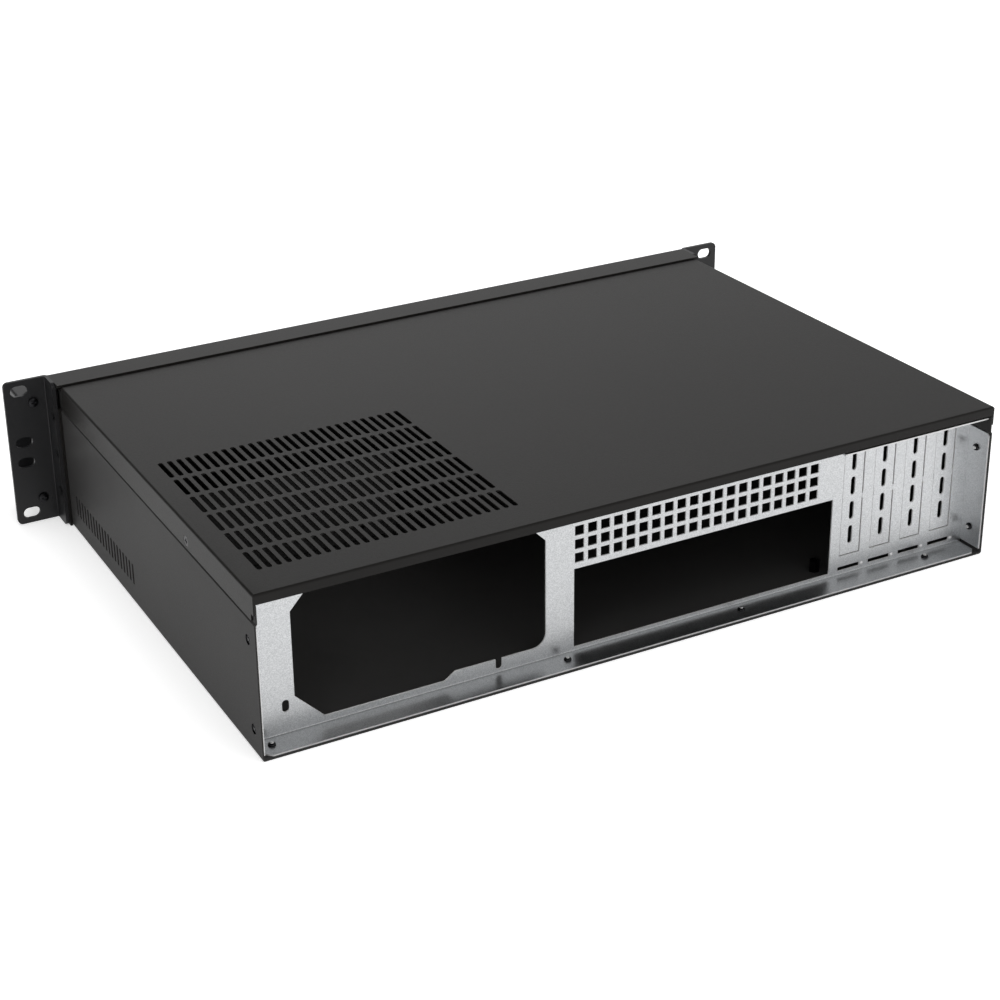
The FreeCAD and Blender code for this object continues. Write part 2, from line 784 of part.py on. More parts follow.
def top_cover():
    """Vented cover: top, two side lips, a rear lip and a lowered front tongue, from one sheet."""
    body = new_body("top_cover")
    lip_low = "(seam_height + sheet_steel + seam_gap)"
    under = "(case_height - sheet_steel)"
    half = [
        (WALL_INNER, under),
        (WALL_INNER, lip_low),
        (WALL, lip_low),
        (WALL, "case_height"),
    ]
    pad(body, "XZ_Plane", "cover_front", "case_depth - cover_front", polygon, mirrored(half))
    pad(
        body, "XZ_Plane", "case_depth - sheet_steel", "sheet_steel", rectangle,
        f"-{WALL_INNER}", WALL_INNER, "case_height - rear_lip_height", "case_height",
    )
    bends = [{"x": signed(side, WALL), "z": "case_height"} for side in (-1, 1)]
    bends += [{"y": "case_depth", "z": "case_height"}]
    round_edges(body, "bend_radius + sheet_steel", bends)
    tongue_side = f"({FLANGE_INNER} - tongue_gap)"
    pad(
        body, "XY_Plane", f"{under} - sheet_steel", "sheet_steel", rectangle,
        f"-{tongue_side}", tongue_side, "cover_front - tongue_length", "cover_front + 2 * sheet_steel",
    )
    cut(
        body, "YZ_Plane", f"-{WALL}", "case_width", rectangle,
        "case_depth - lip_notch_length", "case_depth", lip_low, f"{lip_low} + lip_notch_height",
    )
    cut(
        body, "YZ_Plane", f"-{WALL}", "case_width", facets,
        COVER_SCREW_DEPTH, "cover_screw_height", "cover_screw_head + fit_gap",
    )
    first = "(case_width / 2 - vent_edge_side)"
    rear = "(case_depth - vent_edge_rear)"
    vent = cut(
        body, "XY_Plane", under, "sheet_steel", rectangle,
        f"{first} - vent_width / 2", f"{first} + vent_width / 2",
        f"{rear} - vent_length / 2", f"{rear} + vent_length / 2",
    )
    repeat(body, vent, ("vent_pitch", "vent_columns", True), ("vent_row_pitch", "vent_rows", True))
    finish(body, "top_cover")


def front_panel():
    """Front plate with top and side flanges, fan grilles and the openings of the controls."""
    body = new_body("front_panel")
    pad(
        body, "XZ_Plane", PANEL_FRONT, "panel_sheet", rectangle,
        f"-{PANEL_HALF}", PANEL_HALF, "0", PANEL_TOP,
    )
    pad(
        body, "XY_Plane", f"{PANEL_TOP} - panel_sheet", "panel_sheet", rectangle,
        f"-{PANEL_HALF}", PANEL_HALF, PANEL_FRONT, "panel_top_flange",
    )
    flange = [
        (PANEL_FRONT, "0"),
        ("panel_side_flange", "0"),
        ("panel_side_flange", "panel_cutback_height"),
        ("panel_cutback", "panel_cutback_height"),
        ("panel_cutback", PANEL_TOP),
        (PANEL_FRONT, PANEL_TOP),
    ]
    pad(body, "YZ_Plane", WALL, "panel_sheet", polygon, flange)
    pad(body, "YZ_Plane", f"-{PANEL_HALF}", "panel_sheet", polygon, flange)
    round_edges(body, "bend_radius + panel_sheet", [{"y": PANEL_FRONT, "z": PANEL_TOP}])

    first = "(fan_row_middle - fan_pitch - (grille_slots - 1) / 2 * grille_slot_pitch)"

    def grilles(sketch):
        for step in range(len(FANS)):
            left = f"{first} + {step} * fan_pitch - grille_slot_width / 2"
            rectangle(
                sketch, left, f"{left} + grille_slot_width",
                f"{PANEL_MIDDLE} - grille_slot_height / 2", f"{PANEL_MIDDLE} + grille_slot_height / 2",
            )

    grille = cut(body, "XZ_Plane", PANEL_FRONT, "panel_sheet", grilles)
    repeat(body, grille, ("grille_slot_pitch", "grille_slots", False))

    def control_openings(sketch):
        circle(sketch, "power_place", "control_height", "power_radius + running_gap")
        circle(sketch, "reset_place", "control_height", "reset_radius + running_gap")
        for place in LENSES:
            facets(sketch, place, "control_height", "lens_radius + fit_gap")
        for place in PORTS:
            rectangle(
                sketch, f"{place} - port_width / 2 - fit_gap", f"{place} + port_width / 2 + fit_gap",
                "control_height - port_height / 2 - fit_gap", "control_height + port_height / 2 + fit_gap",
            )

    cut(body, "XZ_Plane", PANEL_FRONT, "panel_sheet", control_openings)

    def flange_holes(sketch):
        for height in EAR_SCREW_HEIGHTS:
            facets(sketch, "ear_screw_setback", height, "ear_screw_shank + fit_gap")

    cut(body, "YZ_Plane", f"-{PANEL_HALF}", f"2 * {PANEL_HALF}", flange_holes)
    finish(body, "front_panel")


def rack_ear(label, side):
    """One mounting ear: slotted face plate and a flange screwed to the panel's side."""
    body = new_body(label)
    outer = "(rack_width / 2)"
    pad(
        body, "XZ_Plane", PANEL_FRONT, "ear_sheet", rectangle,
        signed(side, PANEL_HALF), signed(side, outer), "0", PANEL_TOP,
    )
    low = PANEL_HALF if side > 0 else f"-({PANEL_HALF} + ear_sheet)"
    pad(body, "YZ_Plane", low, "ear_sheet", rectangle, PANEL_FRONT, "ear_flange", "0", PANEL_TOP)
    corners = [{"x": signed(side, outer), "z": height} for height in ("0", PANEL_TOP)]
    corners += [{"y": "ear_flange", "z": height} for height in ("0", PANEL_TOP)]
    round_edges(body, "ear_corner", corners)
    round_edges(body, "bend_radius + ear_sheet", [{"x": signed(side, PANEL_HALF), "y": PANEL_FRONT}])
    inside = {"x": signed(side, f"{PANEL_HALF} + ear_sheet"), "y": "0"}
    round_edges(body, "bend_radius", [inside])

    def rack_slots(sketch):
        column = signed(side, "rack_slot_across / 2")
        radius = "rack_slot_height / 2"
        for up in (-1, 1):
            oblong(
                sketch, column, f"{PANEL_MIDDLE} + {up} * rack_outer_spacing / 2",
                f"rack_slot_length / 2 - {radius}", radius, False,
            )
            middle = f"{PANEL_MIDDLE} + {up} * rack_inner_spacing / 2"
            upright = slot_corners("0", "0", radius, "rack_slot_length / 2")
            polygon(sketch, [(f"{column} + ({far})", f"{middle} + ({wide})") for wide, far in upright])

    cut(body, "XZ_Plane", PANEL_FRONT, "ear_sheet", rack_slots)

    def handle_holes(sketch):
        for height in HANDLE_HEIGHTS:
            facets(sketch, signed(side, HANDLE_MIDDLE), height, "handle_screw_shank + fit_gap")

    cut(body, "XZ_Plane", PANEL_FRONT, "ear_sheet", handle_holes)
    for start, depth, radius in (
        (PANEL_HALF, "ear_sheet", "ear_screw_shank"),
        (f"({PANEL_HALF} + ear_sheet - ear_screw_seat)", "ear_screw_seat", "ear_screw_head"),
    ):
        def screw_holes(sketch):
            for height in EAR_SCREW_HEIGHTS:
                facets(sketch, "ear_screw_setback", height, f"{radius} + fit_gap")

        cut(body, "YZ_Plane", start if side > 0 else f"-({start} + {depth})", depth, screw_holes)
    finish(body, label)


def handle(label, side):
    """A flat band bent into a U, with tapped ends for the screws from behind the ear."""
    body = new_body(label)
    front = "(-(ear_sheet + handle_reach))"
    outer = "(handle_spacing / 2 + handle_band / 2)"
    inner = "(handle_spacing / 2 - handle_band / 2)"
    arm = [
        (PANEL_FRONT, outer),
        (front, outer),
        (front, f"-{outer}"),
        (PANEL_FRONT, f"-{outer}"),
        (PANEL_FRONT, f"-{inner}"),
        (f"{front} + handle_band", f"-{inner}"),
        (f"{front} + handle_band", inner),
        (PANEL_FRONT, inner),
    ]
    band = [(across, f"{PANEL_MIDDLE} + ({up})") for across, up in arm]
    low = f"({signed(side, HANDLE_MIDDLE)} - handle_width / 2)"
    pad(body, "YZ_Plane", low, "handle_width", polygon, band)
    corners = [{"y": front, "z": f"{PANEL_MIDDLE} + {turn} * {outer}"} for turn in (-1, 1)]
    round_edges(body, "handle_bend", corners)
    corners = [{"y": f"{front} + handle_band", "z": f"{PANEL_MIDDLE} + {turn} * {inner}"} for turn in (-1, 1)]
    round_edges(body, "handle_inner_bend", corners)

    def tapped_holes(sketch):
        for height in HANDLE_HEIGHTS:
            facets(sketch, signed(side, HANDLE_MIDDLE), height, "handle_screw_shank + fit_gap")

    cut(body, "XZ_Plane", f"{PANEL_FRONT} - handle_screw_depth", "handle_screw_depth", tapped_holes)
    finish(body, label)


def fasteners():
    """Screws and rivets, each kind a group of like solids."""
    screws = []
    for side in (-1, 1):
        for height in HANDLE_HEIGHTS:
            stages = [
                (f"{PANEL_FRONT} - handle_screw_depth + fit_gap", "0", "handle_screw_shank"),
                ("0", "handle_screw_rise", "handle_screw_head"),
            ]
            screws.append(faceted((signed(side, HANDLE_MIDDLE), "0", height), "y", stages))
    group("handle_screws", screws)

    face = f"({PANEL_HALF} + ear_sheet)"
    screws = []
    for side in (-1, 1):
        for height in EAR_SCREW_HEIGHTS:
            stages = [
                (WALL, f"{face} - ear_screw_seat", "ear_screw_shank"),
                (f"{face} - ear_screw_seat", face, "ear_screw_head"),
            ]
            screws.append(faceted(("0", "ear_screw_setback", height), "x", facing(side, stages)))
    group("ear_screws", screws)

    screws = []
    for side in (-1, 1):
        stages = [
            (f"{WALL_INNER} - cover_screw_length", WALL_INNER, "small_screw_shank"),
            (WALL_INNER, WALL, "cover_screw_head"),
        ]
        centre = ("0", COVER_SCREW_DEPTH, "cover_screw_height")
        screws.append(faceted(centre, "x", facing(side, stages)))
    group("cover_screws", screws)

    rivets = []
    for side in (-1, 1):
        for height in RIVET_HEIGHTS:
            stages = [
                (f"({FLANGE_INNER} - rivet_rise)", WALL_INNER, "rivet_pin"),
                (WALL_INNER, WALL, "rivet_head"),
            ]
            rivets.append(faceted(("0", RIVET_DEPTH, height), "x", facing(side, stages)))
    group("flange_rivets", rivets)

    rivets = []
    for place in LIP_RIVETS:
        stages = [
            ("0", "sheet_steel", "rivet_head"),
            ("sheet_steel", "2 * sheet_steel + rivet_rise", "rivet_pin"),
        ]
        rivets.append(faceted((place, RIVET_DEPTH, "0"), "z", stages))
    group("lip_rivets", rivets)

    screws = []
    for along, up in BOARD_SCREWS:
        stages = [
            (f"{BOARD_FRONT} - small_screw_rise", BOARD_FRONT, "small_screw_head"),
            (BOARD_FRONT, f"{BOARD_BACK} + bracket_sheet", "small_screw_shank"),
        ]
        screws.append(faceted((along, "0", up), "y", stages))
    group("board_bracket_screws", screws)

    screws = []
    for along, deep in CAGE_SCREWS:
        stages = [
            ("0", CAGE_FLOOR, "small_screw_shank"),
            (CAGE_FLOOR, f"{CAGE_FLOOR} + small_screw_rise", "small_screw_head"),
        ]
        screws.append(faceted((along, deep, "0"), "z", stages))
    group("drive_cage_screws", screws)


def button(label, place, cap_radius, collar_radius, proud):
    """A push button: cap through the panel, collar behind it and a stem towards its switch."""
    seat = f"({PANEL_BACK} + seat_gap)"
    stem_end = f"({BOARD_FRONT} - switch_depth - plunger_length - button_travel - seat_gap)"
    centre = (place, "0", "control_height")
    cap = faceted(centre, "y", [(f"{PANEL_FRONT} - {proud}", seat, cap_radius)], sides=24)
    stages = [
        (seat, f"{seat} + collar_thickness", collar_radius),
        (f"{seat} + collar_thickness", stem_end, "stem_radius"),
    ]
    finish(fused([cap, faceted(centre, "y", stages)]), label)


def lens(label, place):
    """An indicator lens that carries the light from the control board to the panel."""
    stages = [
        (f"{PANEL_FRONT} - lens_proud", PANEL_BACK, "lens_radius"),
        (PANEL_BACK, f"{PANEL_BACK} + collar_thickness", "lens_collar"),
        (f"{PANEL_BACK} + collar_thickness", BOARD_FRONT, "lens_radius"),
    ]
    finish(faceted((place, "0", "control_height"), "y", stages), label)


def controls():
    """Buttons, lenses, ports, switches, and the board and bracket that carry them."""
    button("power_button", "power_place", "power_radius", "power_collar", "power_proud")
    button("reset_button", "reset_place", "reset_radius", "reset_collar", "reset_proud")
    lens("power_lens", LENSES[0])
    lens("drive_lens", LENSES[1])

    shells = []
    tongues = []
    for place in PORTS:
        sides = (f"{place} - port_width / 2", f"{place} + port_width / 2")
        heights = ("control_height - port_height / 2", "control_height + port_height / 2")
        shell = box(*sides, PANEL_FRONT, BOARD_FRONT, *heights)
        hollow = box(
            f"{sides[0]} + port_wall", f"{sides[1]} - port_wall",
            PANEL_FRONT, f"{BOARD_FRONT} - port_wall",
            f"{heights[0]} + port_wall", f"{heights[1]} - port_wall",
        )
        shells.append(without(shell, [hollow]))
        tongues.append(box(
            f"{place} - tongue_width / 2", f"{place} + tongue_width / 2",
            f"{PANEL_FRONT} + tongue_recess", f"{BOARD_FRONT} - port_wall",
            "control_height + tongue_rise - tongue_height / 2",
            "control_height + tongue_rise + tongue_height / 2",
        ))
    group("usb_ports", shells)
    group("port_tongues", tongues)

    switches = []
    for place in ("power_place", "reset_place"):
        front = f"({BOARD_FRONT} - switch_depth)"
        housing = box(
            f"{place} - switch_side / 2", f"{place} + switch_side / 2", front, BOARD_FRONT,
            "control_height - switch_side / 2", "control_height + switch_side / 2",
        )
        stage = (f"{front} - plunger_length", front, "plunger_radius")
        plunger = faceted((place, "0", "control_height"), "y", [stage])
        switches.append(fused([housing, plunger]))
    group("switches", switches)

    board = box(
        BOARD_LOW, BOARD_HIGH, BOARD_FRONT, BOARD_BACK,
        "control_height - board_half_height", "control_height + board_half_height",
    )
    bores = []
    for along, up in BOARD_SCREWS:
        radius = "small_screw_shank + fit_gap"
        bores.append(faceted((along, "0", up), "y", [(BOARD_FRONT, BOARD_BACK, radius)]))
    finish(without(board, bores), "control_board")

    body = new_body("board_bracket")
    low_web = f"({BOARD_LOW} - running_gap)"
    high_web = f"({BOARD_HIGH} + running_gap)"
    hat = [
        (f"{low_web} - bracket_sheet - bracket_foot", PANEL_BACK),
        (low_web, PANEL_BACK),
        (low_web, BOARD_BACK),
        (high_web, BOARD_BACK),
        (high_web, PANEL_BACK),
        (f"{high_web} + bracket_sheet + bracket_foot", PANEL_BACK),
        (f"{high_web} + bracket_sheet + bracket_foot", f"{PANEL_BACK} + bracket_sheet"),
        (f"{high_web} + bracket_sheet", f"{PANEL_BACK} + bracket_sheet"),
        (f"{high_web} + bracket_sheet", f"{BOARD_BACK} + bracket_sheet"),
        (f"{low_web} - bracket_sheet", f"{BOARD_BACK} + bracket_sheet"),
        (f"{low_web} - bracket_sheet", f"{PANEL_BACK} + bracket_sheet"),
        (f"{low_web} - bracket_sheet - bracket_foot", f"{PANEL_BACK} + bracket_sheet"),
    ]
    pad(body, "XY_Plane", "control_height - board_half_height", "2 * board_half_height", polygon, hat)

    def screw_holes(sketch):
        for along, up in BOARD_SCREWS:
            facets(sketch, along, up, "small_screw_shank + fit_gap")

    cut(body, "XZ_Plane", BOARD_BACK, "bracket_sheet", screw_holes)
    finish(body, "board_bracket")


def mainboard_standoffs():
    """Hexagonal standoffs with a tapped bore, set on the floor."""
    pieces = []
    top = "(sheet_steel + standoff_height)"
    for along, deep in STANDOFFS:
        hexagon = doc.addObject("Part::Prism", "hexagon")
        hexagon.Polygon = 6
        bind(hexagon, "Circumradius", "standoff_across / 2 / cos(30 deg)")
        bind(hexagon, "Height", "standoff_height")
        for letter, text in zip("xyz", (along, deep, "sheet_steel")):
            bind(hexagon, f"Placement.Base.{letter}", text)
        bore = turned((along, deep, "0"), "z", [(f"{top} - standoff_bore_depth", top, "standoff_bore")])
        pieces.append(without(hexagon, [bore]))
    group("mainboard_standoffs", pieces)


def drive_cage():
    """A sheet channel that holds two drives across the case, screwed to the floor."""
    body = new_body("drive_cage")
    inner_front = "(cage_front + cage_sheet)"
    inner_back = "(cage_front + cage_sheet + cage_inner)"
    top = "(sheet_steel + cage_height)"
    channel = [
        ("cage_front", "sheet_steel"),
        (f"{inner_back} + cage_sheet", "sheet_steel"),
        (f"{inner_back} + cage_sheet", top),
        (inner_back, top),
        (inner_back, CAGE_FLOOR),
        (inner_front, CAGE_FLOOR),
        (inner_front, top),
        ("cage_front", top),
    ]
    pad(body, "YZ_Plane", "cage_low_side", "cage_length", polygon, channel)
    outer = [{"y": "cage_front", "z": "sheet_steel"}, {"y": f"{inner_back} + cage_sheet", "z": "sheet_steel"}]
    round_edges(body, "bend_radius + cage_sheet", outer)
    round_edges(body, "bend_radius", [{"y": inner_front, "z": CAGE_FLOOR}, {"y": inner_back, "z": CAGE_FLOOR}])

    def drive_holes(sketch):
        for side in (-1, 1):
            circle(
                sketch, f"cage_low_side + cage_length / 2 + {side} * drive_hole_spacing / 2",
                f"{CAGE_FLOOR} + drive_hole_rise", "drive_hole_radius",
            )

    cut(body, "XZ_Plane", "cage_front", "2 * cage_sheet + cage_inner", drive_holes)

    def floor_holes(sketch):
        for along, deep in CAGE_SCREWS:
            facets(sketch, along, deep, "small_screw_shank + fit_gap")

    cut(body, "XY_Plane", "sheet_steel", "cage_sheet", floor_holes)
    finish(body, "drive_cage")


base_tray()
rear_panel()
top_cover()
front_panel()
for side_name, side in (("left", -1), ("right", 1)):
    rack_ear(f"ear_{side_name}", side)
    handle(f"handle_{side_name}", side)
fasteners()
controls()
mainboard_standoffs()
drive_cage()

doc.recompute()
for item in doc.Objects:
    if "Invalid" in item.State or "Error" in item.State:
        raise RuntimeError(f"{item.Label} failed: {item.State}")
for sub_part in sub_parts:
    if sub_part.Shape.isNull() or not sub_part.Shape.isValid():
        raise RuntimeError(f"{sub_part.Label} has no sound shape")

os.makedirs("parts", exist_ok=True)
for sub_part in sub_parts:
    sub_part.Shape.exportStep(f"parts/{sub_part.Label}.step")
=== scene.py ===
import math

import bmesh
import bpy
from mathutils import Matrix, Vector


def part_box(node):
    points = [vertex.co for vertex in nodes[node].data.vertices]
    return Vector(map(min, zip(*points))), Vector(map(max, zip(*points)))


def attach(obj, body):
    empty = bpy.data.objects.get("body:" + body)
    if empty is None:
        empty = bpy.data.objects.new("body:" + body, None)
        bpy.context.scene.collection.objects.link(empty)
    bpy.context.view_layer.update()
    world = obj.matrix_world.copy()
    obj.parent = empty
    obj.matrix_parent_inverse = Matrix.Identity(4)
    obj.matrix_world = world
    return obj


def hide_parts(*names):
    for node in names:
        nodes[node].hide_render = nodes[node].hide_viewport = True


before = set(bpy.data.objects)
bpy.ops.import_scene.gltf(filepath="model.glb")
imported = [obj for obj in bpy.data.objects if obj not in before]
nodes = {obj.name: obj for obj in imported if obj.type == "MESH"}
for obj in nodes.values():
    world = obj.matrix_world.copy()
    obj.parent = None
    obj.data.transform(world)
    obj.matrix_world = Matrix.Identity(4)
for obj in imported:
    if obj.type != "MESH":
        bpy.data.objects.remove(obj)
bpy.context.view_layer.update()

mm = 0.001

# Measures of the CAD model
case_shift = -133.5 * mm  # how far the sheet metal's own frame is moved along Y
sheet = 0.8 * mm  # thickness of the tray, the cover and the rear panel
slot_pitch = 20.32 * mm
slot_count = 4

# How near counts as the same
weld = 0.002 * mm  # vertices of one sheet
touch = 0.001 * mm  # vertices of a turned shape, and the ends of a sliver
on_cut = 0.0005 * mm  # a vertex and the plane that cuts there
same_place = 0.01 * mm
same_length = 0.02 * mm

# Where shading breaks at an edge
flat_area = 60 * mm ** 2  # a larger face is a flat
flat_turn = math.radians(0.5)  # beside a flat
crisp_turn = math.radians(35)  # anywhere else


# Materials

def material(name, colour, roughness, metallic=0.0, specular=0.5):
    """A new material, with its node tree and shader for the texture that follows."""
    made = bpy.data.materials.new(name)
    made.use_nodes = True
    tree = made.node_tree
    shader = tree.nodes["Principled BSDF"]
    shader.inputs["Base Color"].default_value = (*colour, 1)
    shader.inputs["Roughness"].default_value = roughness
    shader.inputs["Metallic"].default_value = metallic
    shader.inputs["Specular IOR Level"].default_value = specular
    return made, tree, shader


def object_place(tree):
    return tree.nodes.new("ShaderNodeTexCoord").outputs["Object"]


def noise(tree, place, scale, detail=3.0, roughness=0.55):
    node = tree.nodes.new("ShaderNodeTexNoise")
    node.inputs["Scale"].default_value = scale
    node.inputs["Detail"].default_value = detail
    node.inputs["Roughness"].default_value = roughness
    tree.links.new(place, node.inputs["Vector"])
    return node.outputs["Fac"]


def cells(tree, place, scale):
    node = tree.nodes.new("ShaderNodeTexVoronoi")
    node.inputs["Scale"].default_value = scale
    tree.links.new(place, node.inputs["Vector"])
    return node.outputs["Color"]


def ramp(tree, source, stops):
    """Turns a value into a colour; the stops are (value, colour) pairs."""
    node = tree.nodes.new("ShaderNodeValToRGB")
    band = node.color_ramp
    while len(band.elements) < len(stops):
        band.elements.new(0.5)
    for element, (at, colour) in zip(band.elements, stops):
        element.position = at
        element.color = (*colour, 1)
    tree.links.new(source, node.inputs["Fac"])
    return node.outputs["Color"]


def spread(tree, source, low, high):
    """Stretches a value from 0 to 1 over the range from low to high."""
    node = tree.nodes.new("ShaderNodeMapRange")
    node.inputs["To Min"].default_value = low
    node.inputs["To Max"].default_value = high
    tree.links.new(source, node.inputs["Value"])
    return node.outputs["Result"]


def mottle(tree, shader, source, dark, light):
    """Lets the colour wander between a dark and a light tone."""
    stops = [(0.3, dark), (0.7, light)]
    tree.links.new(ramp(tree, source, stops), shader.inputs["Base Color"])


def gloss(tree, shader, source, low, high):
    """Lets the roughness wander between two values."""
    tree.links.new(spread(tree, source, low, high), shader.inputs["Roughness"])


def bumps(tree, shader, height, strength, distance):
    node = tree.nodes.new("ShaderNodeBump")
    node.inputs["Strength"].default_value = strength
    node.inputs["Distance"].default_value = distance
    tree.links.new(height, node.inputs["Height"])
    tree.links.new(node.outputs["Normal"], shader.inputs["Normal"])


def grey(level):
    return (level, level, level)


def tint(colour, amount):
    return tuple(channel * amount for channel in colour)


def powder_coat(name, colour, roughness, specular=0.5):
    """Fine textured powder coat: small dense bumps and a faint cloudiness of colour and gloss."""
    made, tree, shader = material(name, colour, roughness, specular=specular)
    place = object_place(tree)
    cloud = noise(tree, place, scale=9.0, detail=4.0)
    mottle(tree, shader, cloud, tint(colour, 0.9), tint(colour, 1.1))
    grain = noise(tree, place, scale=1500.0, detail=2.0)
    gloss(tree, shader, grain, roughness - 0.06, roughness + 0.06)
    bumps(tree, shader, grain, strength=0.35, distance=0.12 * mm)
    return made


def zinc_sheet(name):
    """Hot-dip zinc with a fine spangle: small crystals that differ in brightness and gloss."""
    made, tree, shader = material(name, grey(0.62), roughness=0.38, metallic=1.0)
    place = object_place(tree)
    crystal = cells(tree, place, scale=2900.0)
    tone = tree.nodes.new("ShaderNodeSeparateColor")
    tree.links.new(crystal, tone.inputs["Color"])
    stops = [(0.0, (0.50, 0.51, 0.52)), (0.5, (0.60, 0.61, 0.62)), (1.0, (0.72, 0.73, 0.74))]
    tree.links.new(ramp(tree, tone.outputs["Red"], stops), shader.inputs["Base Color"])
    gloss(tree, shader, tone.outputs["Green"], 0.30, 0.44)
    fine = noise(tree, place, scale=2400.0, detail=2.0)
    bumps(tree, shader, fine, strength=0.25, distance=0.05 * mm)
    return made


def plated_metal(name, colour, roughness, metallic=1.0):
    """Plated, turned or sheared metal with faint tool marks."""
    made, tree, shader = material(name, colour, roughness, metallic=metallic)
    place = object_place(tree)
    marks = noise(tree, place, scale=2600.0)
    gloss(tree, shader, marks, roughness - 0.08, roughness + 0.1)
    mottle(tree, shader, noise(tree, place, scale=700.0), tint(colour, 0.86), colour)
    bumps(tree, shader, marks, strength=0.15, distance=0.03 * mm)
    return made


def moulded_plastic(name, colour, roughness):
    """Moulded plastic with a fine spark texture."""
    made, tree, shader = material(name, colour, roughness)
    place = object_place(tree)
    grain = noise(tree, place, scale=3000.0, detail=2.0)
    cloud = noise(tree, place, scale=300.0)
    mottle(tree, shader, cloud, tint(colour, 0.88), tint(colour, 1.1))
    bumps(tree, shader, grain, strength=0.2, distance=0.04 * mm)
    return made


def clear_lens(name):
    """Milky moulded lens for an indicator light."""
    made, tree, shader = material(name, (0.78, 0.82, 0.86), roughness=0.22)
    shader.inputs["Transmission Weight"].default_value = 0.6
    place = object_place(tree)
    gloss(tree, shader, noise(tree, place, scale=1800.0), 0.16, 0.3)
    return made


case_coat = powder_coat("warm_black_powder_coat", (0.0100, 0.0092, 0.0085), 0.40, specular=0.17)
# The tray's coat is the cover's black paint made lighter: painted light, which lifts the case's
# shaded inside.
tray_coat = powder_coat("warm_black_tray_coat", (0.0350, 0.0342, 0.0337), 0.42, specular=0.07)
ear_coat = powder_coat("satin_black_ear_coat", (0.011, 0.011, 0.012), 0.42, specular=0.4)
galvanised = zinc_sheet("galvanised_sheet")
# A bright finish for the rear wall's cut faces, partly their bare cut steel and partly a painted
# highlight; on the slot pips it is only a painted highlight.
edge_and_highlight_finish = plated_metal("cut_edge_and_painted_highlight", (0.86, 0.86, 0.86), 0.5, metallic=0.35)
black_screw = plated_metal("black_oxide_fastener", (0.03, 0.03, 0.032), 0.3)
zinc_screw = plated_metal("zinc_plated_screw", (0.60, 0.60, 0.58), 0.3)
# Rivet pin ends: real pins, whose bright colour is a painted highlight on the black domes.
pin_highlight_finish = plated_metal("rivet_pin_painted_highlight", (0.85, 0.85, 0.84), 0.3)
control_plastic = moulded_plastic("control_plastic", (0.02, 0.02, 0.02), 0.35)
lens_clear = clear_lens("milky_lens")
port_metal = plated_metal("port_shell_metal", (0.75, 0.75, 0.76), 0.24)
board_plastic = moulded_plastic("switch_plastic", (0.03, 0.03, 0.03), 0.5)
# A near-black pad colour that paints the shade behind the fan grilles.
shade_pad_finish = moulded_plastic("black_painted_shade", (0.006, 0.006, 0.006), 0.9)
laminate = moulded_plastic("board_laminate", (0.02, 0.09, 0.045), 0.4)

finishes = {
    "base_tray": tray_coat, "top_cover": case_coat, "front_panel": case_coat,
    "drive_cage": tray_coat, "board_bracket": tray_coat, "rear_panel": galvanised,
    "ear_left": ear_coat, "ear_right": ear_coat, "handle_left": ear_coat, "handle_right": ear_coat,
    "handle_screws": black_screw, "ear_screws": black_screw, "cover_screws": black_screw,
    "flange_rivets": black_screw, "lip_rivets": black_screw,
    "board_bracket_screws": zinc_screw, "drive_cage_screws": zinc_screw,
    "mainboard_standoffs": black_screw,
    "power_button": control_plastic, "reset_button": control_plastic,
    "power_lens": lens_clear, "drive_lens": lens_clear, "usb_ports": port_metal,
    "port_tongues": board_plastic, "switches": board_plastic, "control_board": laminate,
}
for name, finish in finishes.items():
    mesh = nodes[name].data
    mesh.materials.clear()
    mesh.materials.append(finish)


# Pieces that carry more form than their solids

def as_piece(form, name, finish):
    """Makes the form a piece at the origin; steep edges and the rims of its flats stay crisp."""
    for edge in form.edges:
        largest = max((face.calc_area() for face in edge.link_faces), default=0)
        limit = flat_turn if largest > flat_area else crisp_turn
        edge.smooth = edge.calc_face_angle(0) < limit
    for face in form.faces:
        face.smooth = True
    mesh = bpy.data.meshes.new(name)
    form.to_mesh(mesh)
    form.free()
    mesh.materials.append(finish)
    piece = bpy.data.objects.new(name, mesh)
    bpy.context.scene.collection.objects.link(piece)
    return piece


def dress(form, node, body="case"):
    """The form stands for a CAD node: it takes the node's finish and moves with its body."""
    piece = as_piece(form, f"{node}_detailed", finishes[node])
    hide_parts(node)
    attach(piece, body)
    return piece


def joined_copy(node):
    """A copy of a CAD node as one joined mesh."""
    form = bmesh.new()
    form.from_mesh(nodes[node].data)
    bmesh.ops.remove_doubles(form, verts=form.verts, dist=weld)
    return form


def solid_copy(node):
    """A joined copy of a CAD node with its flat faces whole."""
    form = joined_copy(node)
    bmesh.ops.dissolve_limit(
        form, angle_limit=flat_turn, verts=form.verts, edges=form.edges, delimit={"NORMAL"},
    )
    return form


def add_form(form, other):
    """Adds another form and uses it up."""
    mesh = bpy.data.meshes.new("added")
    other.to_mesh(mesh)
    other.free()
    form.from_mesh(mesh)
    bpy.data.meshes.remove(mesh)


def set_down(pattern, parts):
    """Copies of a pattern; each part is a place and the direction that its Z axis takes there."""
    form = bmesh.new()
    for place, direction in parts:
        one = pattern.copy()
        turn = Vector(direction).to_track_quat("Z", "Y").to_matrix().to_4x4()
        bmesh.ops.transform(one, matrix=Matrix.Translation(place) @ turn, verts=one.verts)
        add_form(form, one)
    pattern.free()
    return form


def verts_of(geom):
    return [item for item in geom if isinstance(item, bmesh.types.BMVert)]


def edges_of(geom):
    return [item for item in geom if isinstance(item, bmesh.types.BMEdge)]


def middle_of(edge):
    return (edge.verts[0].co + edge.verts[1].co) / 2


def across_axis(axis):
    """The normal of a plane that lies across an axis."""
    return Vector([float(i == axis) for i in range(3)])


